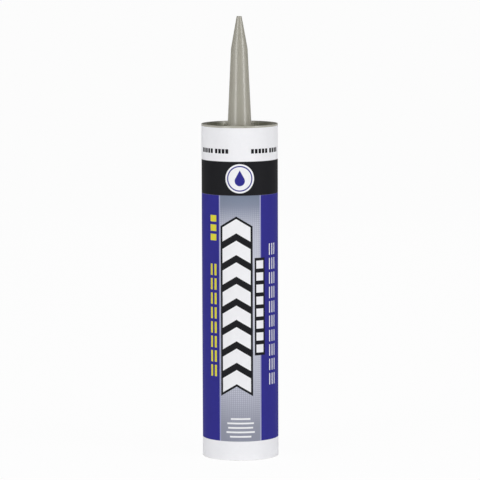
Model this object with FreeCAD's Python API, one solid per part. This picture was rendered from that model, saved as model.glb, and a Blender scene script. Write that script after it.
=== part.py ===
import FreeCAD, Part
import math
import os

# Cartridge for sealant, standing on its open rear end. Millimetres, +Z up along the axis.
# The origin is the centre of the rear rim, and the front of the label faces -Y.

# Paperboard tube
tube_length = 216.0
tube_bore_radius = 23.3
tube_wall = 1.12
tube_edge_chamfer = 0.2

# Paper label pasted round the tube, with a butt seam at the back, and the ink on it
paste_film = 0.05
label_thickness = 0.15
label_end_setback = 0.1
label_seam_gap = 0.4
ink_lift = 0.05
ink_thickness = 0.08

# Cap moulding: lip, recess and hub
lip_thickness = 1.05
lip_land_width = 3.1
lip_rounding = 0.4
recess_depth = 4.0
recess_draft = 0.3
cap_floor_thickness = 1.5
hub_radius = 10.2
hub_drop = 0.4
hub_rounding = 0.8
hub_wall = 1.5
skirt_wall = 1.25
skirt_depth = 4.6
skirt_lead_in = 0.6
skirt_clearance = 0.05

# Nozzle of the cap, in two tapers, closed at the tip
nozzle_base_radius = 7.7
nozzle_break_radius = 5.4
nozzle_tip_radius = 1.6
nozzle_break_height = 48.4
nozzle_length = 69.3
nozzle_foot_rounding = 1.1
nozzle_break_rounding = 3.0
nozzle_wall = 1.1
nozzle_tip_wall = 0.9
nozzle_tip_thickness = 1.6

# Foil seal under the throat of the nozzle
seal_thickness = 0.15
seal_overlap = 2.0

# Piston: a cup open to the rear, with a sealing lip at each end
piston_recess = 11.0
piston_skirt_height = 19.0
piston_dome_height = 3.6
piston_dome_land = 2.2
piston_dome_shoulder = 1.4
piston_wall = 1.9
piston_lip_height = 2.2
piston_lip_depth = 0.55
piston_lip_slope = 0.9
piston_gate_radius = 2.5
piston_gate_height = 1.0
piston_clearance = 0.05

# Sealant column
sealant_clearance = 0.05
sealant_piston_gap = 0.3

# Bands of the label, heights from its ends
bottom_white_height = 12.6
black_band_height = 21.9
top_white_height = 21.7

# Silver panel down the front
panel_half_width = 14.2

# Column of white chevrons on a black backing, between the panel's left edge and the slab
chevron_edge_gap = 1.1
chevron_slab_gap = 1.3
chevron_arm = 9.2
chevron_rise = 5.6
chevron_outline = 1.4
chevron_pitch = 14.0
chevron_foot_margin = 32.0
chevron_top_margin = 15.0

# Round badge on the black band
badge_radius = 9.4
badge_ring_outer = 8.3
badge_ring_inner = 7.5
drop_radius = 3.3
drop_tip = 6.9
drop_sink = 1.5

# Black slab across the panel's right edge with white squares in it
slab_overlap = 4.6
slab_width = 7.6
slab_square = 5.2
slab_pitch = 7.8
slab_end_margin = 1.8
slab_foot_margin = 56.0
slab_top_margin = 38.0

# Broken lines on the blue field: dashes in yellow and in white
dash_length = 7.4
dash_gap = 2.0
yellow_line_width = 1.7
yellow_line_pitch = 3.4
yellow_line_gap = 2.2
yellow_foot_margin = 42.0
yellow_top_margin = 36.0
white_line_width = 0.9
white_line_pitch = 2.6
white_line_gap = 4.0
white_line_count = 3
white_foot_margin = 36.0
white_top_margin = 28.0

# Yellow marks above the yellow lines, as wide as the two lines together
mark_height = 4.2
mark_gap = 1.9
mark_count = 3
mark_top_margin = 13.0

# White bars at the foot of the panel
foot_bar_height = 1.1
foot_bar_pitch = 2.9
foot_bar_margin = 2.6
foot_bar_half_widths = (7.0, 9.4, 8.2, 8.8, 6.4)

# Rows of short black blocks on the top white band, two rows in each group
block_width = 1.95
block_gap = 0.65
block_height = 2.9
block_lift = 5.1
long_row_count = 5
short_row_count = 4
row_gap = 1.9
row_groups = 4
row_turn_deg = 45.0

# How far a cutting outline runs out past the ink
stamp_overrun = 1.0


def copies(room, pitch):
    """How many copies at this pitch fit in the room, at least one."""
    return max(1, int(room // pitch))


# Sizes that follow from the ones above
tube_radius = tube_bore_radius + tube_wall
label_inner_radius = tube_radius + paste_film
label_radius = label_inner_radius + label_thickness
ink_inner_radius = label_radius + ink_lift
ink_radius = ink_inner_radius + ink_thickness
rim_height = tube_length + lip_thickness
cap_underside = rim_height - recess_depth - cap_floor_thickness
skirt_radius = tube_bore_radius - skirt_clearance
skirt_inner_radius = skirt_radius - skirt_wall
skirt_end = cap_underside - skirt_depth
hub_inner_radius = hub_radius - hub_wall
seal_radius = hub_inner_radius + seal_overlap
piston_radius = tube_bore_radius - piston_clearance
piston_shoulder = piston_recess + piston_skirt_height
label_low = label_end_setback
label_high = tube_length - label_end_setback
blue_low = bottom_white_height
black_high = tube_length - top_white_height
blue_high = black_high - black_band_height
blue_height = blue_high - blue_low
badge_height = black_high - black_band_height / 2
slab_left = panel_half_width - slab_overlap
chevron_left = chevron_edge_gap - panel_half_width
chevron_right = slab_left - chevron_slab_gap
chevron_arc = (chevron_left + chevron_right) / 2
chevron_half_width = (chevron_right - chevron_left) / 2 - chevron_outline
chevron_count = copies(blue_height - chevron_foot_margin - chevron_top_margin, chevron_pitch)
slab_count = copies(blue_height - slab_foot_margin - slab_top_margin, slab_pitch)
yellow_right = -panel_half_width - yellow_line_gap
yellow_left = yellow_right - yellow_line_pitch - yellow_line_width
slab_low = blue_low + slab_foot_margin
slab_high = slab_low + 2 * slab_end_margin + (slab_count - 1) * slab_pitch + slab_square
stamp_reach = ink_radius + stamp_overrun
full_turn_deg = 360.0
axis_up = FreeCAD.Vector(0, 0, 1)
origin = FreeCAD.Vector(0, 0, 0)


def rounded_wire(corners):
    """Closed wire in the XZ plane through (radius, height, rounding) corners, each rounded by an arc."""
    edges = []
    joints = []
    for index, (radius, height, rounding) in enumerate(corners):
        corner = FreeCAD.Vector(radius, 0, height)
        before = corners[index - 1]
        after = corners[(index + 1) % len(corners)]
        back = FreeCAD.Vector(before[0], 0, before[1]) - corner
        ahead = FreeCAD.Vector(after[0], 0, after[1]) - corner
        back.normalize()
        ahead.normalize()
        if rounding == 0:
            joints.append((corner, corner))
            continue
        half_angle = back.getAngle(ahead) / 2
        reach = rounding / math.tan(half_angle)
        middle = back + ahead
        middle.normalize()
        sag = rounding / math.sin(half_angle) - rounding
        start = corner + back * reach
        end = corner + ahead * reach
        edges.append(Part.Arc(start, corner + middle * sag, end).toShape())
        joints.append((start, end))
    for index, (start, end) in enumerate(joints):
        leave = joints[index - 1][1]
        edges.append(Part.LineSegment(leave, start).toShape())
    return Part.Wire(Part.__sortEdges__(edges))


def turned(corners):
    """Solid of revolution about the axis from a rounded outline."""
    return Part.Face(rounded_wire(corners)).revolve(origin, axis_up, full_turn_deg)


def ring(inner, outer, low, high):
    """Plain tube between two radii and two heights."""
    foot = FreeCAD.Vector(0, 0, low)
    whole = Part.makeCylinder(outer, high - low, foot)
    return whole.cut(Part.makeCylinder(inner, high - low, foot))


def across(arc):
    """Sideways place on the front of the label of a distance measured round it."""
    return ink_radius * math.sin(arc / ink_radius)


def stamp(corners):
    """Prism from the axis out through the front of the label, over an outline of (arc, height) corners."""
    points = [FreeCAD.Vector(across(arc), 0, height) for arc, height in corners]
    outline = Part.makePolygon(points + points[:1])
    return Part.Face(outline).extrude(FreeCAD.Vector(0, -stamp_reach, 0))


def block(left, right, low, high):
    """Stamp with a plain upright outline."""
    return stamp([(left, low), (right, low), (right, high), (left, high)])


def disc(radius, height):
    """Round stamp on the middle of the front."""
    foot = FreeCAD.Vector(0, 0, height)
    return Part.makeCylinder(radius, stamp_reach, foot, FreeCAD.Vector(0, -1, 0))


def inked(stamps):
    """The stamps' shapes as thin ink on the label."""
    skin = ring(ink_inner_radius, ink_radius, label_low, label_high)
    return [skin.common(each) for each in stamps]


def solids_of(shapes):
    """Every solid in a list of shapes, as one compound."""
    return Part.makeCompound([solid for shape in shapes for solid in shape.Solids])


def make_tube_body():
    body = ring(tube_bore_radius, tube_radius, 0, tube_length)
    rims = [edge for edge in body.Edges if edge.Curve.TypeId == "Part::GeomCircle"]
    return body.makeChamfer(tube_edge_chamfer, rims)


def make_label_wrap():
    sheet = ring(label_inner_radius, label_radius, label_low, label_high)
    seam = Part.makeBox(label_seam_gap, stamp_reach, tube_length)
    seam.translate(FreeCAD.Vector(-label_seam_gap / 2, 0, 0))
    return sheet.cut(seam)


def make_nozzle_cap():
    recess_radius = ink_radius - lip_land_width
    recess_floor = rim_height - recess_depth
    hub_top = rim_height - hub_drop
    break_level = rim_height + nozzle_break_height
    tip_level = rim_height + nozzle_length
    bore_top = tip_level - nozzle_tip_thickness
    outside = [
        (ink_radius, tube_length, 0),
        (ink_radius, rim_height, lip_rounding),
        (recess_radius, rim_height, 0),
        (recess_radius - recess_draft, recess_floor, 0),
        (hub_radius, recess_floor, 0),
        (hub_radius - recess_draft, hub_top, hub_rounding),
        (nozzle_base_radius, hub_top, nozzle_foot_rounding),
        (nozzle_break_radius, break_level, nozzle_break_rounding),
        (nozzle_tip_radius, tip_level, 0),
        (0, tip_level, 0),
    ]
    inside = [
        (0, bore_top, 0),
        (nozzle_tip_radius - nozzle_tip_wall, bore_top, 0),
        (nozzle_break_radius - nozzle_wall, break_level, 0),
        (nozzle_base_radius - nozzle_wall, hub_top, 0),
        (hub_inner_radius, hub_top - hub_wall, 0),
        (hub_inner_radius, cap_underside, 0),
        (skirt_inner_radius, cap_underside, 0),
        (skirt_inner_radius, skirt_end, 0),
        (skirt_radius - skirt_lead_in, skirt_end, 0),
        (skirt_radius, skirt_end + skirt_lead_in, 0),
        (skirt_radius, tube_length, 0),
    ]
    return turned(outside + inside)


def make_inner_seal():
    foot = FreeCAD.Vector(0, 0, cap_underside - seal_thickness)
    return Part.makeCylinder(seal_radius, seal_thickness, foot)


def piston_front(gap):
    """Corners of the piston's front from the wall to the axis, moved forward by a gap."""
    land_radius = piston_radius - piston_dome_land
    shoulder = piston_shoulder + gap
    return [
        (land_radius, shoulder, 0),
        (land_radius - piston_dome_shoulder, shoulder + piston_dome_shoulder, 0),
        (0, shoulder + piston_dome_height, 0),
    ]


def make_piston():
    rear = piston_recess
    neck_radius = piston_radius - piston_lip_depth
    inner_radius = neck_radius - piston_wall
    rear_neck = rear + piston_lip_height + piston_lip_slope
    front_neck = piston_shoulder - piston_lip_height - piston_lip_slope
    web = piston_shoulder - piston_wall
    gate_level = web + piston_dome_height - piston_gate_height
    outside = [
        (inner_radius, rear, 0),
        (piston_radius, rear, 0),
        (piston_radius, rear + piston_lip_height, 0),
        (neck_radius, rear_neck, 0),
        (neck_radius, front_neck, 0),
        (piston_radius, piston_shoulder - piston_lip_height, 0),
        (piston_radius, piston_shoulder, 0),
    ]
    inside = [
        (0, gate_level, 0),
        (piston_gate_radius, gate_level, 0),
        (piston_gate_radius, web + piston_dome_height * (1 - piston_gate_radius / inner_radius), 0),
        (inner_radius, web, 0),
    ]
    return turned(outside + piston_front(0) + inside)


def make_sealant():
    column_radius = tube_bore_radius - sealant_clearance
    plug_radius = skirt_inner_radius - sealant_clearance
    top = cap_underside - seal_thickness
    shoulder = skirt_end - sealant_clearance
    outline = [
        (0, top, 0),
        (plug_radius, top, 0),
        (plug_radius, shoulder, 0),
        (column_radius, shoulder, 0),
        (column_radius, piston_shoulder + sealant_piston_gap, 0),
    ]
    return turned(outline + piston_front(sealant_piston_gap))


def chevron(foot, height, outline):
    """Stamp with ends that point up, this high along its sides, grown by an outline."""
    slope = chevron_rise / chevron_half_width
    lift = outline * math.sqrt(1 + slope * slope)
    side = chevron_half_width + outline
    side_low = foot - slope * outline - lift
    side_high = foot + height - slope * outline + lift
    peak_low = foot + chevron_rise - lift
    peak_high = foot + chevron_rise + height + lift
    return stamp(
        [
            (chevron_arc - side, side_low),
            (chevron_arc, peak_low),
            (chevron_arc + side, side_low),
            (chevron_arc + side, side_high),
            (chevron_arc, peak_high),
            (chevron_arc - side, side_high),
        ]
    )


def chevrons():
    """The whole column of chevrons."""
    feet = [blue_low + chevron_foot_margin + index * chevron_pitch for index in range(chevron_count)]
    return [chevron(foot, chevron_arm, 0) for foot in feet]


def chevron_backing():
    """The outline round the whole column."""
    height = (chevron_count - 1) * chevron_pitch + chevron_arm
    return [chevron(blue_low + chevron_foot_margin, height, chevron_outline)]


def broken_line(arc, width, foot_margin, top_margin):
    """Dashes in a line up the blue field."""
    pitch = dash_length + dash_gap
    first = blue_low + foot_margin
    count = copies(blue_height - foot_margin - top_margin, pitch)
    feet = [first + index * pitch for index in range(count)]
    return [block(arc, arc + width, foot, foot + dash_length) for foot in feet]


def slab():
    return [block(slab_left, slab_left + slab_width, slab_low, slab_high)]


def slab_squares():
    near = slab_left + (slab_width - slab_square) / 2
    feet = [slab_low + slab_end_margin + index * slab_pitch for index in range(slab_count)]
    return [block(near, near + slab_square, foot, foot + slab_square) for foot in feet]


def yellow_shapes():
    """Two broken lines left of the panel and the marks above them."""
    shapes = []
    for arc in (yellow_right - yellow_line_width, yellow_left):
        shapes += broken_line(arc, yellow_line_width, yellow_foot_margin, yellow_top_margin)
    for index in range(mark_count):
        high = blue_high - mark_top_margin - index * (mark_height + mark_gap)
        shapes.append(block(yellow_left, yellow_right, high - mark_height, high))
    return shapes


def white_lines():
    right = slab_left + slab_width + white_line_gap
    shapes = []
    for index in range(white_line_count):
        arc = right + index * white_line_pitch
        shapes += broken_line(arc, white_line_width, white_foot_margin, white_top_margin)
    return shapes


def foot_bars():
    shapes = []
    for index, half_width in enumerate(foot_bar_half_widths):
        foot = blue_low + foot_bar_margin + index * foot_bar_pitch
        shapes.append(block(-half_width, half_width, foot, foot + foot_bar_height))
    return shapes


def block_rows():
    """Groups of two rows of blocks round the top white band, between the front, sides and back."""
    low = black_high + block_lift
    pitch = block_width + block_gap
    long_row = long_row_count * pitch - block_gap
    short_row = short_row_count * pitch - block_gap
    whole = long_row + row_gap + short_row
    lefts = [index * pitch - whole / 2 for index in range(long_row_count)]
    lefts += [index * pitch + whole / 2 - short_row for index in range(short_row_count)]
    shapes = []
    for group in range(row_groups):
        turn = row_turn_deg + group * full_turn_deg / row_groups
        for left in lefts:
            each = block(left, left + block_width, low, low + block_height)
            each.rotate(origin, axis_up, turn)
            shapes.append(each)
    return shapes


def make_print_black():
    band = ring(ink_inner_radius, ink_radius, blue_high, black_high).cut(disc(badge_radius, badge_height))
    column = inked(chevron_backing())[0].cut(chevrons())
    bar = inked(slab())[0].cut(slab_squares())
    return solids_of([band, column, bar] + inked(block_rows()))


def drop():
    """Stamp of a drop: a disc with a tip whose sides meet it as tangents."""
    middle = badge_height - drop_sink
    lean = math.acos(drop_radius / drop_tip)
    side = drop_radius * math.sin(lean)
    shoulder = middle + drop_radius * math.cos(lean)
    tip = stamp([(-side, shoulder), (side, shoulder), (0, middle + drop_tip)])
    return disc(drop_radius, middle).fuse(tip)


def make_print_blue():
    panel = block(-panel_half_width, panel_half_width, blue_low, blue_high)
    cut_away = [panel] + slab() + yellow_shapes() + white_lines()
    field = ring(ink_inner_radius, ink_radius, blue_low, blue_high).cut(cut_away)
    circle = inked([disc(badge_ring_outer, badge_height)])[0].cut(disc(badge_ring_inner, badge_height))
    return solids_of([field, circle] + inked([drop()]))


def make_print_silver():
    panel = inked([block(-panel_half_width, panel_half_width, blue_low, blue_high)])[0]
    return solids_of([panel.cut(chevron_backing() + slab() + foot_bars())])


def make_print_yellow():
    return solids_of(inked(yellow_shapes()))


nodes = {
    "tube_body": make_tube_body,
    "label_wrap": make_label_wrap,
    "nozzle_cap": make_nozzle_cap,
    "inner_seal": make_inner_seal,
    "piston": make_piston,
    "sealant": make_sealant,
    "print_black": make_print_black,
    "print_blue": make_print_blue,
    "print_silver": make_print_silver,
    "print_yellow": make_print_yellow,
}

os.makedirs("parts", exist_ok=True)
for name, make in nodes.items():
    shape = make()
    shape.exportStep("parts/" + name + ".step")
    solids = len(shape.Solids)
    print(name, "solids", solids, "volume", round(shape.Volume, 2), "valid", shape.isValid())
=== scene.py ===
import math
import bmesh
import bpy
from mathutils import Euler, Matrix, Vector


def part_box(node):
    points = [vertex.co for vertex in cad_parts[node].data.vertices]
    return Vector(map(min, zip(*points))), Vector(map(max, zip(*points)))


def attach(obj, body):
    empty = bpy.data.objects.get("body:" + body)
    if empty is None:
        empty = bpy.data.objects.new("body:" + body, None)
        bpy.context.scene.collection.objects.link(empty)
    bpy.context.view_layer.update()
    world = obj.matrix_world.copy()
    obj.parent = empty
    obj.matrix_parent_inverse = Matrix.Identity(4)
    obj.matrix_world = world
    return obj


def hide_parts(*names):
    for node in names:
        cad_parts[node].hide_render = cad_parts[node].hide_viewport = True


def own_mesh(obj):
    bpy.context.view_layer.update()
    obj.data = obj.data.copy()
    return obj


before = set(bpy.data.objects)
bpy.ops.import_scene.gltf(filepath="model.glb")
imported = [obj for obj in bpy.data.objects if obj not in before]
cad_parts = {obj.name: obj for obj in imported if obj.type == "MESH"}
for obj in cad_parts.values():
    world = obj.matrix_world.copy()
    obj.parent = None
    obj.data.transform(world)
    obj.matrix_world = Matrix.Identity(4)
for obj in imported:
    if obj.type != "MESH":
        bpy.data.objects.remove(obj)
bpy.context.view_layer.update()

mm = 0.001
poleRadius = 0.04        # the small ring that a lathed shape has on its axis until it is closed
near = 0.01              # how far off a ring may lie and still be picked
weldReach = 0.002        # how near the two ends of a closed outline have to be to become one
smoothAngle = 35         # degrees between two faces, up to which they shade as one
bevelSteps = 4

# Sizes that the CAD solids already have, in millimetres
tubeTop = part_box("tube_body")[1][2] / mm
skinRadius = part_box("nozzle_cap")[1][0] / mm
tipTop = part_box("nozzle_cap")[1][2] / mm
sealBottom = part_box("inner_seal")[0][2] / mm
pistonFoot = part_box("piston")[0][2] / mm
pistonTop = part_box("piston")[1][2] / mm


def paint(red, green, blue):
    # a colour as it looks on screen, turned into shader numbers
    def straight(part):
        part = part / 255
        return part / 12.92 if part <= 0.04045 else ((part + 0.055) / 1.055) ** 2.4
    return (straight(red), straight(green), straight(blue), 1.0)


# Mesh tools

def startClean():
    if bpy.context.object and bpy.context.object.mode != "OBJECT":
        bpy.ops.object.mode_set(mode="OBJECT")
    bpy.ops.object.select_all(action="DESELECT")


def unpick(work):
    for part in list(work.verts) + list(work.edges) + list(work.faces):
        part.select_set(False)


def selectWhere(piece, test):
    # picks edges whose two ends both pass the test, which gets radius and height in millimetres
    work = bmesh.from_edit_mesh(piece.data)
    unpick(work)
    for edge in work.edges:
        ends = [vert.co / mm for vert in edge.verts]
        if all(test(math.hypot(end.x, end.y), end.z) for end in ends):
            edge.select_set(True)
    bmesh.update_edit_mesh(piece.data)


def latheUp(name, rings, segments, closed=False):
    # one ring, pulled from place to place along the outline by extrude and scale
    startClean()
    radius, height = rings[0]
    bpy.ops.mesh.primitive_circle_add(vertices=segments, radius=radius * mm, location=(0, 0, height * mm))
    piece = bpy.context.object
    piece.name = name
    bpy.ops.object.mode_set(mode="EDIT")
    bpy.ops.mesh.select_mode(type="EDGE")
    bpy.ops.mesh.select_all(action="SELECT")
    for before, after in zip(rings, rings[1:]):
        rise = (after[1] - before[1]) * mm
        grow = after[0] / before[0]
        bpy.ops.mesh.extrude_region_move(TRANSFORM_OT_translate={"value": (0, 0, rise)})
        bpy.ops.transform.resize(value=(grow, grow, 1))
    if closed:
        bpy.ops.mesh.select_all(action="SELECT")
        bpy.ops.mesh.remove_doubles(threshold=weldReach * mm)
    return piece


def closePole(piece, height):
    # draws a small ring on the axis together into one point
    selectWhere(piece, lambda radius, level: radius < poleRadius + near and abs(level - height) < near)
    bpy.ops.mesh.merge(type="CENTER")


def roundRings(piece, rings):
    # bevels the rings at these radii and heights, each by its own size
    for radius, height, size in rings:
        selectWhere(piece, lambda out, level: abs(out - radius) < near and abs(level - height) < near)
        bpy.ops.mesh.bevel(offset=size * mm, segments=bevelSteps, affect="EDGES")


def finishPiece(piece, body, material, replaced):
    bpy.ops.mesh.select_all(action="SELECT")
    bpy.ops.mesh.normals_make_consistent(inside=False)
    bpy.ops.object.mode_set(mode="OBJECT")
    startClean()
    piece.select_set(True)
    bpy.context.view_layer.objects.active = piece
    bpy.ops.object.transform_apply(location=True, rotation=True, scale=True)
    bpy.ops.object.shade_smooth_by_angle(angle=math.radians(smoothAngle))
    piece.data.materials.append(material)
    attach(piece, body)
    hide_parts(*replaced)


# Shader tools

class Wire:
    # a socket in a node tree, so that shader maths is written as plain sums
    def __init__(self, tree, socket=None):
        self.tree = tree
        self.socket = socket

    def node(self, kind, settings=None, inputs=None, out=0):
        made = self.tree.nodes.new("ShaderNode" + kind)
        for name, value in (settings or {}).items():
            if name == "stops":
                self.fillRamp(made.color_ramp, value)
            else:
                setattr(made, name, value)
        for name, value in (inputs or {}).items():
            if isinstance(value, Wire):
                self.tree.links.new(value.socket, made.inputs[name])
            else:
                made.inputs[name].default_value = value
        return Wire(self.tree, made.outputs[out] if made.outputs else None)

    def fillRamp(self, ramp, stops):
        while len(ramp.elements) < len(stops):
            ramp.elements.new(0.5)
        for element, (place, colour) in zip(ramp.elements, stops):
            element.position = place
            element.color = colour

    def maths(self, operation, *others):
        # a Math node with this socket in its first place
        return self.node("Math", {"operation": operation}, dict(enumerate((self,) + others)))

    def __add__(self, other):
        return self.maths("ADD", other)

    def __radd__(self, other):
        return self.maths("ADD", other)

    def __sub__(self, other):
        return self.maths("SUBTRACT", other)

    def __rsub__(self, other):
        return self.node("Math", {"operation": "SUBTRACT"}, {0: other, 1: self})

    def __mul__(self, other):
        return self.maths("MULTIPLY", other)

    def __truediv__(self, other):
        return self.maths("DIVIDE", other)

    def __abs__(self):
        return self.maths("ABSOLUTE")

    def over(self, other):
        return self.maths("MAXIMUM", other)

    def under(self, other):
        return self.maths("MINIMUM", other)

    def held(self):
        # kept between 0 and 1
        return self.over(0.0).under(1.0)

    def mixed(self, share, other):
        # this colour, with the other one laid over it by a share from 0 to 1
        return self.node("Mix", {"data_type": "RGBA"}, {0: share, 6: self, 7: other}, out=2)


def newMaterial(name):
    material = bpy.data.materials.new(name)
    material.use_nodes = True
    material.node_tree.nodes.clear()
    return material, Wire(material.node_tree)


def surface(wire, sockets):
    shader = wire.node("BsdfPrincipled", {}, sockets)
    wire.node("OutputMaterial", {}, {"Surface": shader})


def objectSpot(wire):
    return wire.node("TexCoord", out=3)


def millimetres(wire, spot):
    # object coordinates, split into x, y and z
    apart = wire.node("SeparateXYZ", {}, {0: spot})
    return [Wire(wire.tree, socket) / mm for socket in apart.socket.node.outputs]


def distance(first, second):
    return (first * first + second * second).maths("SQRT")


def grain(wire, spot, scale, detail=3.0, roughness=0.5, squeeze=(1.0, 1.0, 1.0)):
    # noise about zero, from -0.5 to 0.5; each plan names its own grains, by these last four values
    spread = wire.node("Mapping", {}, {"Vector": spot, "Scale": squeeze})
    sockets = {"Vector": spread, "Scale": scale, "Detail": detail, "Roughness": roughness}
    return wire.node("TexNoise", {}, sockets) - 0.5


def bumped(wire, height, depth):
    return wire.node("Bump", {}, {"Height": height, "Distance": depth * mm, "Strength": 1.0})


def between(wire, dark, light, share):
    # from one screen colour to another
    return wire.node("ValToRGB", {"stops": [(0.0, paint(*dark)), (1.0, paint(*light))]}, {0: share})


# Cap and nozzle, one moulding

capPlan = {
    "tipRadius": 1.6, "breakRadius": 5.4, "breakDrop": 20.9, "baseRadius": 7.7,
    "hubRadius": 10.2, "hubTopRadius": 9.9, "hubDrop": 0.4, "recessDepth": 4.0,
    "recessFloorRadius": 21.35, "recessMouthRadius": 21.65, "lipThickness": 1.05,
    "skirtOuter": 23.25, "skirtInner": 22.0, "skirtDepth": 10.1, "skirtSlant": 0.6, "floorThickness": 1.5,
    "throatRadius": 8.7, "throatRise": 3.6, "wall": 1.1, "tipPlug": 1.6, "tipBore": 0.7,
    # the recess tone is painted shade and the edge tone is a painted highlight on the lip's rim
    "toneDark": (155, 152, 140), "toneLight": (170, 167, 155), "toneRecessShade": (131, 131, 108),
    "toneEdgeHighlight": (196, 193, 183), "recessShadeShare": 0.6, "lipHighlightShare": 0.7, "tipShare": 0.2,
    "cloud": (38.0, 2.0), "streak": (260.0, 3.0, 0.55, (1.0, 1.0, 0.035)), "pits": (1500.0, 2.0, 0.6),
    "roughness": 0.26, "bumpDepth": 0.04, "ior": 1.52, "gloss": 0.7,
    "segments": 160,
}


def capMaterial(plan):
    material, wire = newMaterial("capPlastic")
    spot = objectSpot(wire)
    x, y, z = millimetres(wire, spot)
    radius = distance(x, y)
    cloud = grain(wire, spot, *plan["cloud"])
    streak = grain(wire, spot, *plan["streak"])
    pits = grain(wire, spot, *plan["pits"])
    # masks: the lip's rim, where a painted highlight lightens it; the nozzle's tip, a little lighter; and
    # the recess, where painted shade darkens it towards olive
    lipEdge = (1.0 - abs(radius - skinRadius + 0.25) * 2.2).held() * ((z - tubeTop + 1.0) * 1.5).held()
    tipEdge = ((z - tipTop + 1.4) * 0.8).held()
    sunk = ((tubeTop + plan["lipThickness"] - 0.4 - z) * 1.2).held()
    fromNozzle = ((radius - plan["baseRadius"] - 0.6) * 1.2).held()
    withinLip = ((plan["recessMouthRadius"] + 0.5 - radius) * 2.0).held()
    shade = (0.5 + cloud * 0.7 + streak * 0.5).held()
    tone = between(wire, plan["toneDark"], plan["toneLight"], shade)
    # painted shade: the recess inside the lip is made darker and more olive, as if it lay in shadow
    tone = tone.mixed(sunk * fromNozzle * withinLip * plan["recessShadeShare"], paint(*plan["toneRecessShade"]))
    # painted highlight: the lip's rim is made lighter, as if lit, and the nozzle's tip is a little lighter
    edges = (lipEdge * plan["lipHighlightShare"] + tipEdge * plan["tipShare"]).held()
    tone = tone.mixed(edges, paint(*plan["toneEdgeHighlight"]))
    surface(wire, {
        "Base Color": tone,
        "Roughness": plan["roughness"] + cloud * 0.10 + streak * 0.12 + lipEdge * 0.08,
        "Normal": bumped(wire, streak * 0.5 + pits * 0.3 + cloud, plan["bumpDepth"]),
        "IOR": plan["ior"],
        "Specular IOR Level": plan["gloss"],
    })
    return material


def makeCap(plan):
    rim = tubeTop + plan["lipThickness"]
    floor = rim - plan["recessDepth"]
    hubTop = rim - plan["hubDrop"]
    under = floor - plan["floorThickness"]
    skirtEnd = rim - plan["skirtDepth"]
    slant = plan["skirtSlant"]
    breakAt = tipTop - plan["breakDrop"]
    boreTop = tipTop - plan["tipPlug"]
    rings = [
        (poleRadius, tipTop), (plan["tipRadius"], tipTop), (plan["breakRadius"], breakAt),
        (plan["baseRadius"], hubTop), (plan["hubTopRadius"], hubTop), (plan["hubRadius"], floor),
        (plan["recessFloorRadius"], floor), (plan["recessMouthRadius"], rim), (skinRadius, rim),
        (skinRadius, tubeTop), (plan["skirtOuter"], tubeTop), (plan["skirtOuter"], skirtEnd + slant),
        (plan["skirtOuter"] - slant, skirtEnd), (plan["skirtInner"], skirtEnd), (plan["skirtInner"], under),
        (plan["throatRadius"], under), (plan["throatRadius"], under + plan["throatRise"]),
        (plan["baseRadius"] - plan["wall"], hubTop), (plan["breakRadius"] - plan["wall"], breakAt),
        (plan["tipBore"], boreTop), (poleRadius, boreTop),
    ]
    cap = latheUp("capMoulding", rings, plan["segments"])
    closePole(cap, tipTop)
    closePole(cap, boreTop)
    roundRings(cap, [
        (plan["tipRadius"], tipTop, 0.35), (plan["breakRadius"], breakAt, 0.9),
        (plan["baseRadius"], hubTop, 1.1), (plan["hubTopRadius"], hubTop, 0.7),
        (plan["hubRadius"], floor, 0.6), (plan["recessFloorRadius"], floor, 0.6),
        (plan["recessMouthRadius"], rim, 0.4), (skinRadius, rim, 0.42), (skinRadius, tubeTop, 0.12),
        (plan["skirtInner"], under, 0.5),
    ])
    finishPiece(cap, "cartridge", capMaterial(plan), ["nozzle_cap"])
    print("cap and nozzle made")


makeCap(capPlan)


# Paperboard tube with its foil lining

tubePlan = {
    "outer": 24.42, "inner": 23.3, "edge": 0.2, "segments": 192,
    "board": (171, 156, 132), "boardDark": (132, 117, 94),
    "foil": (205, 206, 208), "foilDark": (168, 169, 172),
    "fibre": (900.0, 4.0, 0.65), "blotch": (120.0, 2.0), "crinkle": (210.0, 3.0, 0.6),
    "roughness": 0.86, "bumpDepth": 0.12, "metal": 0.85,
    "turnRise": 62.0, "seamWidth": 0.9, "plyPitch": 0.28,
}


def tubeMaterial(plan):
    material, wire = newMaterial("paperboardAndFoil")
    spot = objectSpot(wire)
    x, y, z = millimetres(wire, spot)
    radius = distance(x, y)
    fibre = grain(wire, spot, *plan["fibre"])
    blotch = grain(wire, spot, *plan["blotch"])
    plies = (radius / plan["plyPitch"] * math.tau).maths("SINE")
    boardShade = (0.62 + plies * 0.2 + fibre * 0.9 + blotch * 0.4).held()
    board = between(wire, plan["boardDark"], plan["board"], boardShade)
    # the foil inside, with its spiral seam
    around = x.maths("ARCTAN2", y * -1.0) / math.tau
    helix = (around + z / plan["turnRise"]).maths("FRACT")
    seam = (1.0 - abs(helix - 0.5) * (plan["turnRise"] / plan["seamWidth"])).held()
    lining = ((plan["inner"] + 0.06 - radius) / 0.04).held()
    crinkle = grain(wire, spot, *plan["crinkle"])
    foil = between(wire, plan["foilDark"], plan["foil"], (0.6 + crinkle * 1.2 - seam * 0.5).held())
    relief = fibre * (1.0 - lining) + crinkle * lining * 0.8 - seam * lining * 1.4
    surface(wire, {
        "Base Color": board.mixed(lining, foil),
        "Metallic": lining * plan["metal"],
        "Roughness": plan["roughness"] + fibre * 0.2 - lining * (0.5 - crinkle * 0.3),
        "Normal": bumped(wire, relief, plan["bumpDepth"]),
    })
    return material


def makeTube(plan):
    edge = plan["edge"]
    inner = plan["inner"]
    outer = plan["outer"]
    rings = [
        (outer, edge), (outer - edge, 0.0), (inner + edge, 0.0), (inner, edge),
        (inner, tubeTop - edge), (inner + edge, tubeTop), (outer - edge, tubeTop), (outer, tubeTop - edge),
        (outer, edge),
    ]
    tube = latheUp("boardTube", rings, plan["segments"], closed=True)
    finishPiece(tube, "cartridge", tubeMaterial(plan), ["tube_body"])
    print("board tube made")


makeTube(tubePlan)


# Printed label: plain fields of colour and simple shapes, places in millimetres round the tube and up it

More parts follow.
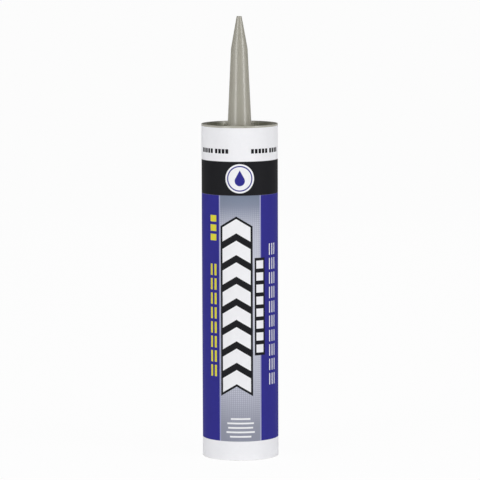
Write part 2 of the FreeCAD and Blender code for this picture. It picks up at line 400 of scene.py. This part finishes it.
labelPlan = {
    "setback": 0.1, "inset": 0.03, "thickness": 0.15, "segments": 384,
    "blueLow": 12.6, "blueHigh": 172.4, "blackHigh": 194.3,
    "panelHalf": 14.2, "borderWidth": 0.85,
    "chevronArc": -2.4, "chevronHalf": 9.3, "chevronArm": 9.2, "chevronRise": 5.6,
    "chevronOutline": 1.4, "chevronPitch": 14.0, "chevronFoot": 44.6, "chevronCount": 8,
    "slabLeft": 9.6, "slabWidth": 7.6, "slabLow": 68.6, "slabHigh": 132.0,
    "square": 5.2, "squarePitch": 7.8, "squareMargin": 1.8, "squareCount": 8,
    "dash": 7.4, "dashPitch": 9.4,
    "yellowWidth": 1.7, "yellowRight": -16.4, "yellowStep": 3.4, "yellowFoot": 54.6, "yellowCount": 8,
    "yellowLines": 2,
    "markHigh": 159.4, "markHeight": 4.2, "markPitch": 6.1, "markCount": 3,
    "whiteWidth": 0.9, "whiteLeft": 21.2, "whiteStep": 2.6, "whiteFoot": 48.6, "whiteCount": 10,
    "whiteLines": 3,
    "footBars": (7.0, 9.4, 8.2, 8.8, 6.4), "footBarLow": 15.2, "footBarHeight": 1.1, "footBarPitch": 2.9,
    "backFoot": 27.0, "backPitch": 23.0, "backGroups": 6, "backInset": 5.5, "backWidth": 27.0,
    "backBar": 0.8, "backStep": 2.4, "backBars": 6, "backShort": 10.0, "backRagged": 5.0,
    "headBar": 1.9, "headWidth": 14.0, "headRise": 15.2,
    "badgeHeight": 183.35, "badgeRadius": 9.4, "ringOuter": 8.3, "ringInner": 7.5,
    "dropRadius": 3.3, "dropTip": 6.9, "dropSink": 1.5,
    "block": 1.95, "blockPitch": 2.6, "blockLow": 199.4, "blockHeight": 2.9,
    "rowReach": 12.0, "rowGroups": 4, "longRow": 5, "shortRow": 4,
    "paper": (241, 241, 244), "paperDark": (234, 234, 237),
    "black": (34, 34, 37), "blackDark": (28, 28, 31), "blue": (54, 51, 146), "blueDark": (48, 46, 126),
    "yellow": (222, 212, 66), "border": (163, 165, 200),
    "silver": [(0.0, (143, 146, 161)), (0.07, (148, 151, 165)), (0.18, (163, 165, 181)),
               (0.26, (174, 177, 191)), (0.55, (190, 192, 206)), (0.80, (184, 187, 201)),
               (0.87, (172, 175, 190)), (0.91, (156, 160, 177)), (0.95, (136, 143, 162)),
               (1.0, (120, 130, 149))],
    "screenPitch": 1.3, "screenShare": 0.42, "dotTone": (228, 230, 240), "softness": 0.14,
    "rubHeight": 0.5, "rubShare": 0.6, "rubTone": (203, 198, 189),
    "mottle": (420.0, 4.0, 0.6), "drift": (24.0, 2.0), "roughness": 0.58, "bumpDepth": 0.02, "gloss": 0.06,
}


def labelMaterial(plan):
    material, wire = newMaterial("printedLabel")
    spot = objectSpot(wire)
    x, y, z = millimetres(wire, spot)
    arc = x.maths("ARCTAN2", y * -1.0) * skinRadius
    soft = plan["softness"]

    def shown(beyond):
        # 1 inside a shape and 0 outside, from the distance to its edge
        return (0.5 - beyond / soft).held()

    def span(value, low, high):
        # distance to the nearer end of a length, less than 0 inside it
        return abs(value - (low + high) / 2) - (high - low) / 2

    def repeats(value, first, length, pitch, count):
        # distance to the nearest of a row of equal lengths
        middle = value - (first + length / 2)
        turn = (middle / pitch).maths("ROUND").under(count - 1.0).over(0.0)
        return abs(middle - turn * pitch) - length / 2

    # fields
    blueField = shown(span(z, plan["blueLow"], plan["blueHigh"]))
    blackBand = shown(span(z, plan["blueHigh"], plan["blackHigh"]))
    panelEdge = span(arc, -plan["panelHalf"], plan["panelHalf"])
    panel = shown(panelEdge) * blueField
    border = shown(abs(panelEdge + plan["borderWidth"] / 2) - plan["borderWidth"] / 2) * blueField

    # chevrons, measured square to their sloping edges
    slope = plan["chevronRise"] / plan["chevronHalf"]
    lean = math.sqrt(1 + slope * slope)
    aside = abs(arc - plan["chevronArc"])
    sheared = z + aside * slope - plan["chevronRise"]
    chevronRow = repeats(sheared, plan["chevronFoot"], plan["chevronArm"], plan["chevronPitch"],
                         plan["chevronCount"]) / lean
    chevron = shown(chevronRow.over(aside - plan["chevronHalf"]))
    columnHigh = (plan["chevronFoot"] + plan["chevronArm"]
                  + (plan["chevronCount"] - 1) * plan["chevronPitch"])
    column = span(sheared, plan["chevronFoot"], columnHigh) / lean
    backing = shown(column.over(aside - plan["chevronHalf"]) - plan["chevronOutline"])

    # slab with its squares
    slabRight = plan["slabLeft"] + plan["slabWidth"]
    slab = shown(span(arc, plan["slabLeft"], slabRight).over(span(z, plan["slabLow"], plan["slabHigh"])))
    inset = (plan["slabWidth"] - plan["square"]) / 2
    squareRow = repeats(z, plan["slabLow"] + plan["squareMargin"], plan["square"], plan["squarePitch"],
                        plan["squareCount"])
    squares = shown(squareRow.over(span(arc, plan["slabLeft"] + inset, slabRight - inset)))

    # yellow lines and the marks over them
    yellowLeft = plan["yellowRight"] - plan["yellowStep"] - plan["yellowWidth"]
    yellowRow = repeats(z, plan["yellowFoot"], plan["dash"], plan["dashPitch"], plan["yellowCount"])
    yellowCols = repeats(arc, yellowLeft, plan["yellowWidth"], plan["yellowStep"], plan["yellowLines"])
    markLow = plan["markHigh"] - plan["markHeight"] - (plan["markCount"] - 1) * plan["markPitch"]
    markRow = repeats(z, markLow, plan["markHeight"], plan["markPitch"], plan["markCount"])
    marks = shown(markRow.over(span(arc, yellowLeft, plan["yellowRight"])))
    yellow = shown(yellowRow.over(yellowCols)).over(marks)

    # white lines, and bars at the foot of the panel
    whiteRow = repeats(z, plan["whiteFoot"], plan["dash"], plan["dashPitch"], plan["whiteCount"])
    whiteCols = repeats(arc, plan["whiteLeft"], plan["whiteWidth"], plan["whiteStep"], plan["whiteLines"])
    white = shown(whiteRow.over(whiteCols))
    for index, half in enumerate(plan["footBars"]):
        low = plan["footBarLow"] + index * plan["footBarPitch"]
        white = white.over(shown(span(z, low, low + plan["footBarHeight"]).over(abs(arc) - half)))

    # groups of fine bars on the back, one column each side of the seam, a group's lowest bar shorter
    behind = (x * -1.0).maths("ARCTAN2", y) * skinRadius
    side = behind.maths("GREATER_THAN", 0.0)
    along = behind + (1.0 - side) * (plan["backInset"] + plan["backWidth"]) - side * plan["backInset"]
    group = ((z - plan["backFoot"]) / plan["backPitch"]).maths("FLOOR")
    group = group.over(0.0).under(plan["backGroups"] - 1.0)
    within = z - plan["backFoot"] - group * plan["backPitch"]
    lowest = within.maths("LESS_THAN", plan["backStep"] / 2)
    shorter = lowest * (plan["backShort"] + (group * 2.4 + side * 2.0).maths("SINE") * plan["backRagged"])
    barRow = repeats(within, 0.0, plan["backBar"], plan["backStep"], plan["backBars"])
    white = white.over(shown(barRow.over(span(along, 0.0, plan["backWidth"] - shorter))))
    headRow = span(within, plan["headRise"], plan["headRise"] + plan["headBar"])
    yellow = yellow.over(shown(headRow.over(span(along, 0.0, plan["headWidth"]))))

    # badge with a ring and a drop
    up = z - plan["badgeHeight"]
    fromBadge = distance(arc, up)
    badge = shown(fromBadge - plan["badgeRadius"])
    ring = shown(span(fromBadge, plan["ringInner"], plan["ringOuter"]))
    fromDrop = up + plan["dropSink"]
    bulb = distance(arc, fromDrop) - plan["dropRadius"]
    tilt = plan["dropRadius"] / plan["dropTip"]
    across = math.sqrt(1 - tilt * tilt)
    flank = abs(arc) * across + fromDrop * tilt - plan["dropRadius"]
    cone = flank.over(plan["dropRadius"] * tilt - fromDrop)
    drop = shown(bulb.under(cone))

    # rows of short blocks on the top white band, in groups round the tube
    quarter = math.tau * skinRadius / plan["rowGroups"]
    turned = (arc / quarter + 2.0).maths("FRACT") * quarter - quarter / 2
    shortLeft = plan["rowReach"] - (plan["shortRow"] - 1) * plan["blockPitch"] - plan["block"]
    firstRow = repeats(turned, -plan["rowReach"], plan["block"], plan["blockPitch"], plan["longRow"])
    secondRow = repeats(turned, shortLeft, plan["block"], plan["blockPitch"], plan["shortRow"])
    rowHeights = span(z, plan["blockLow"], plan["blockLow"] + plan["blockHeight"])
    blocks = shown(firstRow.under(secondRow).over(rowHeights))

    # silver, graded up the panel, with a dot screen
    share = (z - plan["blueLow"]) / (plan["blueHigh"] - plan["blueLow"])
    silverStops = [(place, paint(*tone)) for place, tone in plan["silver"]]
    silver = wire.node("ValToRGB", {"stops": silverStops}, {0: share})
    turn = math.tau / plan["screenPitch"]
    columns = (arc * turn).maths("COSINE")
    rows = (z * turn).maths("COSINE")
    dots = ((columns + rows + 0.2) * 0.75).held()
    # no dots at the panel's two ends
    faded = ((0.96 - share) * 14.0).held() * ((share - 0.07) * 8.0).held()
    silver = silver.mixed(dots * faded * plan["screenShare"], paint(*plan["dotTone"]))

    # ink and paper, each a little uneven
    mottle = grain(wire, spot, *plan["mottle"])
    drift = grain(wire, spot, *plan["drift"])
    blue = between(wire, plan["blueDark"], plan["blue"], (0.6 + mottle * 0.5 + drift * 0.5).held())
    paper = between(wire, plan["paperDark"], plan["paper"], (0.7 + mottle * 0.9 + drift * 0.4).held())
    black = between(wire, plan["blackDark"], plan["black"], (0.5 + mottle).held())

    # laid over each other, the last on top
    tone = paper.mixed(blueField, blue)
    tone = tone.mixed(panel, silver)
    tone = tone.mixed(border, paint(*plan["border"]))
    tone = tone.mixed(white, paper)
    tone = tone.mixed(yellow, paint(*plan["yellow"]))
    tone = tone.mixed(slab, black)
    tone = tone.mixed(squares, paper)
    tone = tone.mixed(backing, black)
    tone = tone.mixed(chevron, paper)
    tone = tone.mixed(blackBand.over(blocks), black)
    tone = tone.mixed(badge, paper)
    tone = tone.mixed(ring.over(drop), blue)

    # the foot of the sheet a little rubbed, where it stands on shelves
    rubbed = ((1.0 - (z - plan["setback"]) / plan["rubHeight"]).held() * (0.7 + mottle * 3.0)).held()
    tone = tone.mixed(rubbed * plan["rubShare"], paint(*plan["rubTone"]))
    inked = blueField.over(blackBand)
    surface(wire, {
        "Base Color": tone,
        "Roughness": plan["roughness"] + mottle * 0.16 + drift * 0.06 - inked * 0.05 + rubbed * 0.2,
        "Normal": bumped(wire, mottle + drift * 2.0, plan["bumpDepth"]),
        "Specular IOR Level": plan["gloss"],
    })
    return material


def layFlat(label, plan):
    # unrolls the outer wall over nearly the whole texture, and the hidden inner wall in a strip beside it
    margin = 0.004
    outerShare = 0.955
    innerStart = 0.966
    innerShare = 0.03
    flat = label.data.uv_layers.new(name="OFBake")
    middle = skinRadius - plan["inset"] - plan["thickness"] / 2
    for face in label.data.polygons:
        radii = [label.data.vertices[index].co.xy.length / mm for index in face.vertices]
        outside = max(radii) > middle
        for loop in face.loop_indices:
            spot = label.data.vertices[label.data.loops[loop].vertex_index].co
            turned = math.atan2(spot.x, -spot.y) / math.tau + 0.5
            raised = margin + spot.z / mm / tubeTop * (1 - 2 * margin)
            if outside:
                flat.data[loop].uv = (margin + turned * outerShare, raised)
            else:
                flat.data[loop].uv = (innerStart + turned * innerShare, raised)


def makeLabel(plan):
    low = plan["setback"]
    high = tubeTop - plan["setback"]
    startClean()
    bpy.ops.mesh.primitive_cylinder_add(vertices=plan["segments"], radius=(skinRadius - plan["inset"]) * mm,
                                        depth=(high - low) * mm, end_fill_type="NOTHING",
                                        location=(0, 0, (high + low) / 2 * mm))
    label = bpy.context.object
    label.name = "labelWrap"
    bpy.ops.object.mode_set(mode="EDIT")
    bpy.ops.mesh.select_mode(type="FACE")
    work = bmesh.from_edit_mesh(label.data)
    unpick(work)
    back = max(work.faces, key=lambda face: face.calc_center_median().y)
    back.select_set(True)
    bmesh.update_edit_mesh(label.data)
    bpy.ops.mesh.delete(type="FACE")   # butt seam at the back
    bpy.ops.mesh.select_all(action="SELECT")
    bpy.ops.mesh.normals_make_consistent(inside=False)
    bpy.ops.object.mode_set(mode="OBJECT")
    sheet = label.modifiers.new("thickness", "SOLIDIFY")
    sheet.thickness = plan["thickness"] * mm
    sheet.offset = -1.0
    bpy.ops.object.modifier_apply(modifier=sheet.name)
    layFlat(label, plan)
    bpy.ops.object.mode_set(mode="EDIT")
    finishPiece(label, "cartridge", labelMaterial(plan),
                ["label_wrap", "print_black", "print_blue", "print_silver", "print_yellow"])
    print("label made")


makeLabel(labelPlan)


# Piston, a moulded cup with a sealing lip at each end

pistonPlan = {
    "radius": 23.25, "lipHeight": 2.2, "lipDepth": 0.55, "lipSlope": 0.9, "skirtHeight": 19.0,
    "land": 2.2, "shoulder": 1.4, "wall": 1.9, "domeHeight": 3.6, "gateRadius": 2.5, "gateHeight": 1.0,
    "tone": (214, 212, 203), "toneDark": (198, 195, 184), "turningRate": 9.0,
    "cloud": (60.0, 2.0), "pits": (1200.0, 2.0, 0.6), "roughness": 0.42, "bumpDepth": 0.05,
    "milky": 0.12, "milkyReach": (0.8, 0.7, 0.6), "segments": 160,
}


def pistonMaterial(plan):
    material, wire = newMaterial("pistonPlastic")
    spot = objectSpot(wire)
    x, y = millimetres(wire, spot)[:2]
    cloud = grain(wire, spot, *plan["cloud"])
    pits = grain(wire, spot, *plan["pits"])
    turning = (distance(x, y) * plan["turningRate"]).maths("SINE")
    surface(wire, {
        "Base Color": between(wire, plan["toneDark"], plan["tone"], (0.6 + cloud * 1.1).held()),
        "Roughness": plan["roughness"] + cloud * 0.12 + pits * 0.08,
        "Normal": bumped(wire, turning * 0.12 + pits * 0.3 + cloud, plan["bumpDepth"]),
        "Subsurface Weight": plan["milky"],
        "Subsurface Radius": [reach * mm for reach in plan["milkyReach"]],
    })
    return material


def makePiston(plan):
    foot = pistonFoot
    outer = plan["radius"]
    neck = outer - plan["lipDepth"]
    inner = neck - plan["wall"]
    shoulder = foot + plan["skirtHeight"]
    web = shoulder - plan["wall"]
    land = outer - plan["land"]
    gate = web + plan["domeHeight"] - plan["gateHeight"]
    gateRoot = web + plan["domeHeight"] * (1 - plan["gateRadius"] / inner)
    rings = [
        (poleRadius, pistonTop), (land - plan["shoulder"], shoulder + plan["shoulder"]), (land, shoulder),
        (outer, shoulder), (outer, shoulder - plan["lipHeight"]),
        (neck, shoulder - plan["lipHeight"] - plan["lipSlope"]),
        (neck, foot + plan["lipHeight"] + plan["lipSlope"]),
        (outer, foot + plan["lipHeight"]), (outer, foot), (inner, foot), (inner, web),
        (plan["gateRadius"], gateRoot), (plan["gateRadius"], gate), (poleRadius, gate),
    ]
    piston = latheUp("pistonCup", rings, plan["segments"])
    closePole(piston, pistonTop)
    closePole(piston, gate)
    roundRings(piston, [
        (outer, foot, 0.35), (inner, foot, 0.35), (inner, web, 1.2), (outer, shoulder, 0.3),
        (plan["gateRadius"], gateRoot, 0.4), (plan["gateRadius"], gate, 0.25), (land, shoulder, 0.5),
    ])
    finishPiece(piston, "plunger", pistonMaterial(plan), ["piston"])
    print("piston made")


makePiston(pistonPlan)


# Sealant column, which shortens as the piston comes up

sealantPlan = {
    "radius": 23.25, "plugRadius": 21.95, "plugFoot": 206.9, "gap": 0.3, "segments": 96,
    "tone": (128, 126, 117), "toneDark": (116, 114, 105),
    "swirl": (90.0, 4.0, 0.6), "roughness": 0.4, "bumpDepth": 0.3,
}


def sealantMaterial(plan):
    material, wire = newMaterial("sealantPaste")
    swirl = grain(wire, objectSpot(wire), *plan["swirl"])
    surface(wire, {
        "Base Color": between(wire, plan["toneDark"], plan["tone"], (0.5 + swirl).held()),
        "Roughness": plan["roughness"] + swirl * 0.2,
        "Normal": bumped(wire, swirl, plan["bumpDepth"]),
    })
    return material


def makeSealant(plan, piston):
    gap = plan["gap"]
    shoulder = pistonFoot + piston["skirtHeight"] + gap
    land = piston["radius"] - piston["land"]
    rings = [
        (poleRadius, sealBottom), (plan["plugRadius"], sealBottom), (plan["plugRadius"], plan["plugFoot"]),
        (plan["radius"], plan["plugFoot"]), (plan["radius"], shoulder), (land, shoulder),
        (land - piston["shoulder"], shoulder + piston["shoulder"]), (poleRadius, pistonTop + gap),
    ]
    column = latheUp("sealantColumn", rings, plan["segments"])
    closePole(column, sealBottom)
    closePole(column, pistonTop + gap)
    finishPiece(column, "cartridge", sealantMaterial(plan), ["sealant"])
    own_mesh(column)
    print("sealant made")


makeSealant(sealantPlan, pistonPlan)


# Foil seal under the nozzle, the CAD solid with a foil finish

sealPlan = {
    "tone": (222, 223, 225), "toneDark": (176, 177, 180),
    "crinkle": (300.0, 3.0, 0.6), "roughness": 0.32, "bumpDepth": 0.1, "metal": 0.9,
}


def sealMaterial(plan):
    material, wire = newMaterial("sealFoil")
    crinkle = grain(wire, objectSpot(wire), *plan["crinkle"])
    surface(wire, {
        "Base Color": between(wire, plan["toneDark"], plan["tone"], (0.5 + crinkle).held()),
        "Metallic": plan["metal"],
        "Roughness": plan["roughness"] + crinkle * 0.2,
        "Normal": bumped(wire, crinkle, plan["bumpDepth"]),
    })
    return material


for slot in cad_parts["inner_seal"].material_slots:
    slot.material = sealMaterial(sealPlan)


# Floor and light

studioPlan = {
    "floorSize": 60.0, "floorTone": 0.86, "whiteShare": 0.96, "floorGloss": 0.3,
    "floorSink": 0.1, "ambient": 1.52, "gloss": 0.78,
    # dark cloths: where each begins, how soft its edge is, and the share of light left
    "frontFrom": 0.85, "frontSoft": 0.09, "frontShare": 0.15,
    "backFrom": 0.28, "backSoft": 0.5, "backShare": 0.1,
    "topFrom": 0.35, "topSoft": 0.4, "topShare": 0.45,
    "boxes": {
        "boxLeft": {"turn": -42.0, "away": 1.15, "foot": 0.01, "tall": 1.2, "wide": 0.40,
                    "power": 4.8, "spread": 180.0, "mirrored": True},
        "boxRight": {"turn": 56.0, "away": 1.15, "foot": 0.01, "tall": 1.2, "wide": 0.22,
                     "power": 4.9, "spread": 180.0, "mirrored": True},
        "boxBehind": {"turn": 178.0, "away": 1.6, "foot": 0.04, "tall": 0.45, "wide": 0.6,
                      "power": 1.7, "spread": 50.0, "mirrored": False},
    },
}


def makeFloor(plan):
    startClean()
    bpy.ops.mesh.primitive_plane_add(size=plan["floorSize"], location=(0, 0, -plan["floorSink"] * mm))
    floor = bpy.context.object
    floor.name = "floor"
    material, wire = newMaterial("paleFloor")
    pale = wire.node("BsdfDiffuse", {}, {"Color": (plan["floorTone"],) * 3 + (1.0,)})
    white = wire.node("Emission", {}, {"Color": (1.0, 1.0, 1.0, 1.0), "Strength": 1.0})
    outs = wire.node("LightPath").socket.node.outputs
    seen = Wire(wire.tree, outs["Is Camera Ray"]).over(Wire(wire.tree, outs["Is Transmission Ray"]))
    seen = seen.over(Wire(wire.tree, outs["Is Glossy Ray"]) * plan["floorGloss"])
    both = wire.node("MixShader", {}, {0: seen * plan["whiteShare"], 1: pale, 2: white})
    # clear from below and under the open rear end, so that the piston can be looked at
    below = wire.node("NewGeometry", out=6)
    x, y = millimetres(wire, objectSpot(wire))[:2]
    underTube = distance(x, y).maths("LESS_THAN", tubePlan["outer"])
    clear = wire.node("BsdfTransparent")
    opened = wire.node("MixShader", {}, {0: below.over(underTube), 1: both, 2: clear})
    wire.node("OutputMaterial", {}, {"Surface": opened})
    floor.data.materials.append(material)


def makeWorld(plan):
    # white to the eye; as light it is a pale room with dark cloths before, behind and over the tube
    world = bpy.data.worlds.new("studio")
    bpy.context.scene.world = world
    world.use_nodes = True
    world.node_tree.nodes.clear()
    wire = Wire(world.node_tree)
    outs = wire.node("LightPath").socket.node.outputs
    direct = Wire(wire.tree, outs["Is Camera Ray"]).over(Wire(wire.tree, outs["Is Transmission Ray"]))
    gloss = Wire(wire.tree, outs["Is Glossy Ray"])
    way = wire.node("SeparateXYZ", {}, {0: wire.node("TexCoord")}).socket.node.outputs
    x, y, z = [Wire(wire.tree, part) for part in way]
    # 1 straight towards the camera, -1 straight away; the small number keeps it off a division by zero
    forward = y / (x * x + y * y + 0.0001).maths("SQRT") * -1.0
    front = ((forward - plan["frontFrom"]) / plan["frontSoft"]).held() * (1.0 - plan["frontShare"])
    back = ((plan["backFrom"] - forward) / plan["backSoft"]).held() * (1.0 - plan["backShare"])
    top = ((z - plan["topFrom"]) / plan["topSoft"]).held() * (1.0 - plan["topShare"])
    room = (1.0 - front) * (1.0 - back) * (1.0 - top)
    level = plan["ambient"] + gloss * (plan["gloss"] - plan["ambient"])
    strength = direct + (1.0 - direct) * room * level
    sky = wire.node("Background", {}, {"Color": (1.0, 1.0, 1.0, 1.0), "Strength": strength})
    wire.node("OutputWorld", {}, {"Surface": sky})


def makeBox(name, box):
    # a softbox that faces the tube, and shows in its gloss if mirrored
    angle = math.radians(box["turn"])
    lamp = bpy.data.lights.new(name, "AREA")
    lamp.shape = "RECTANGLE"
    lamp.size = box["wide"]
    lamp.size_y = box["tall"]
    lamp.spread = math.radians(box["spread"])
    lamp.energy = box["power"]
    holder = bpy.data.objects.new(name, lamp)
    bpy.context.collection.objects.link(holder)
    middle = box["foot"] + box["tall"] / 2
    holder.location = (box["away"] * math.sin(angle), -box["away"] * math.cos(angle), middle)
    holder.rotation_euler = (math.radians(90), 0, angle)
    holder.visible_glossy = box["mirrored"]


makeFloor(studioPlan)
makeWorld(studioPlan)
for boxName, boxValues in studioPlan["boxes"].items():
    makeBox(boxName, boxValues)
print("floor and light made")


# Camera, 2.08 m off and 0.38 m up, as worked out from the photograph's ellipses

cameraPlan = {
    "x": 0.02, "y": -2083.0, "z": 378.8, "downDeg": 6.511, "rollDeg": -0.208,
    "focalPixels": 3225.8, "imageWidth": 480, "sensorWidth": 36.0, "clipEnd": 100.0,
}


def makeCamera(view):
    lens = bpy.data.cameras.new("camera")
    lens.sensor_width = view["sensorWidth"]
    lens.lens = view["focalPixels"] * lens.sensor_width / view["imageWidth"]
    lens.clip_end = view["clipEnd"]
    camera = bpy.data.objects.new("camera", lens)
    bpy.context.collection.objects.link(camera)
    camera.location = (view["x"] * mm, view["y"] * mm, view["z"] * mm)
    aim = Euler((math.radians(90 - view["downDeg"]), 0, 0)).to_matrix()
    roll = Matrix.Rotation(math.radians(view["rollDeg"]), 3, "Z")
    camera.rotation_euler = (aim @ roll).to_euler()
    bpy.context.scene.camera = camera


makeCamera(cameraPlan)
bpy.context.scene.view_settings.view_transform = "Standard"
print("camera set")
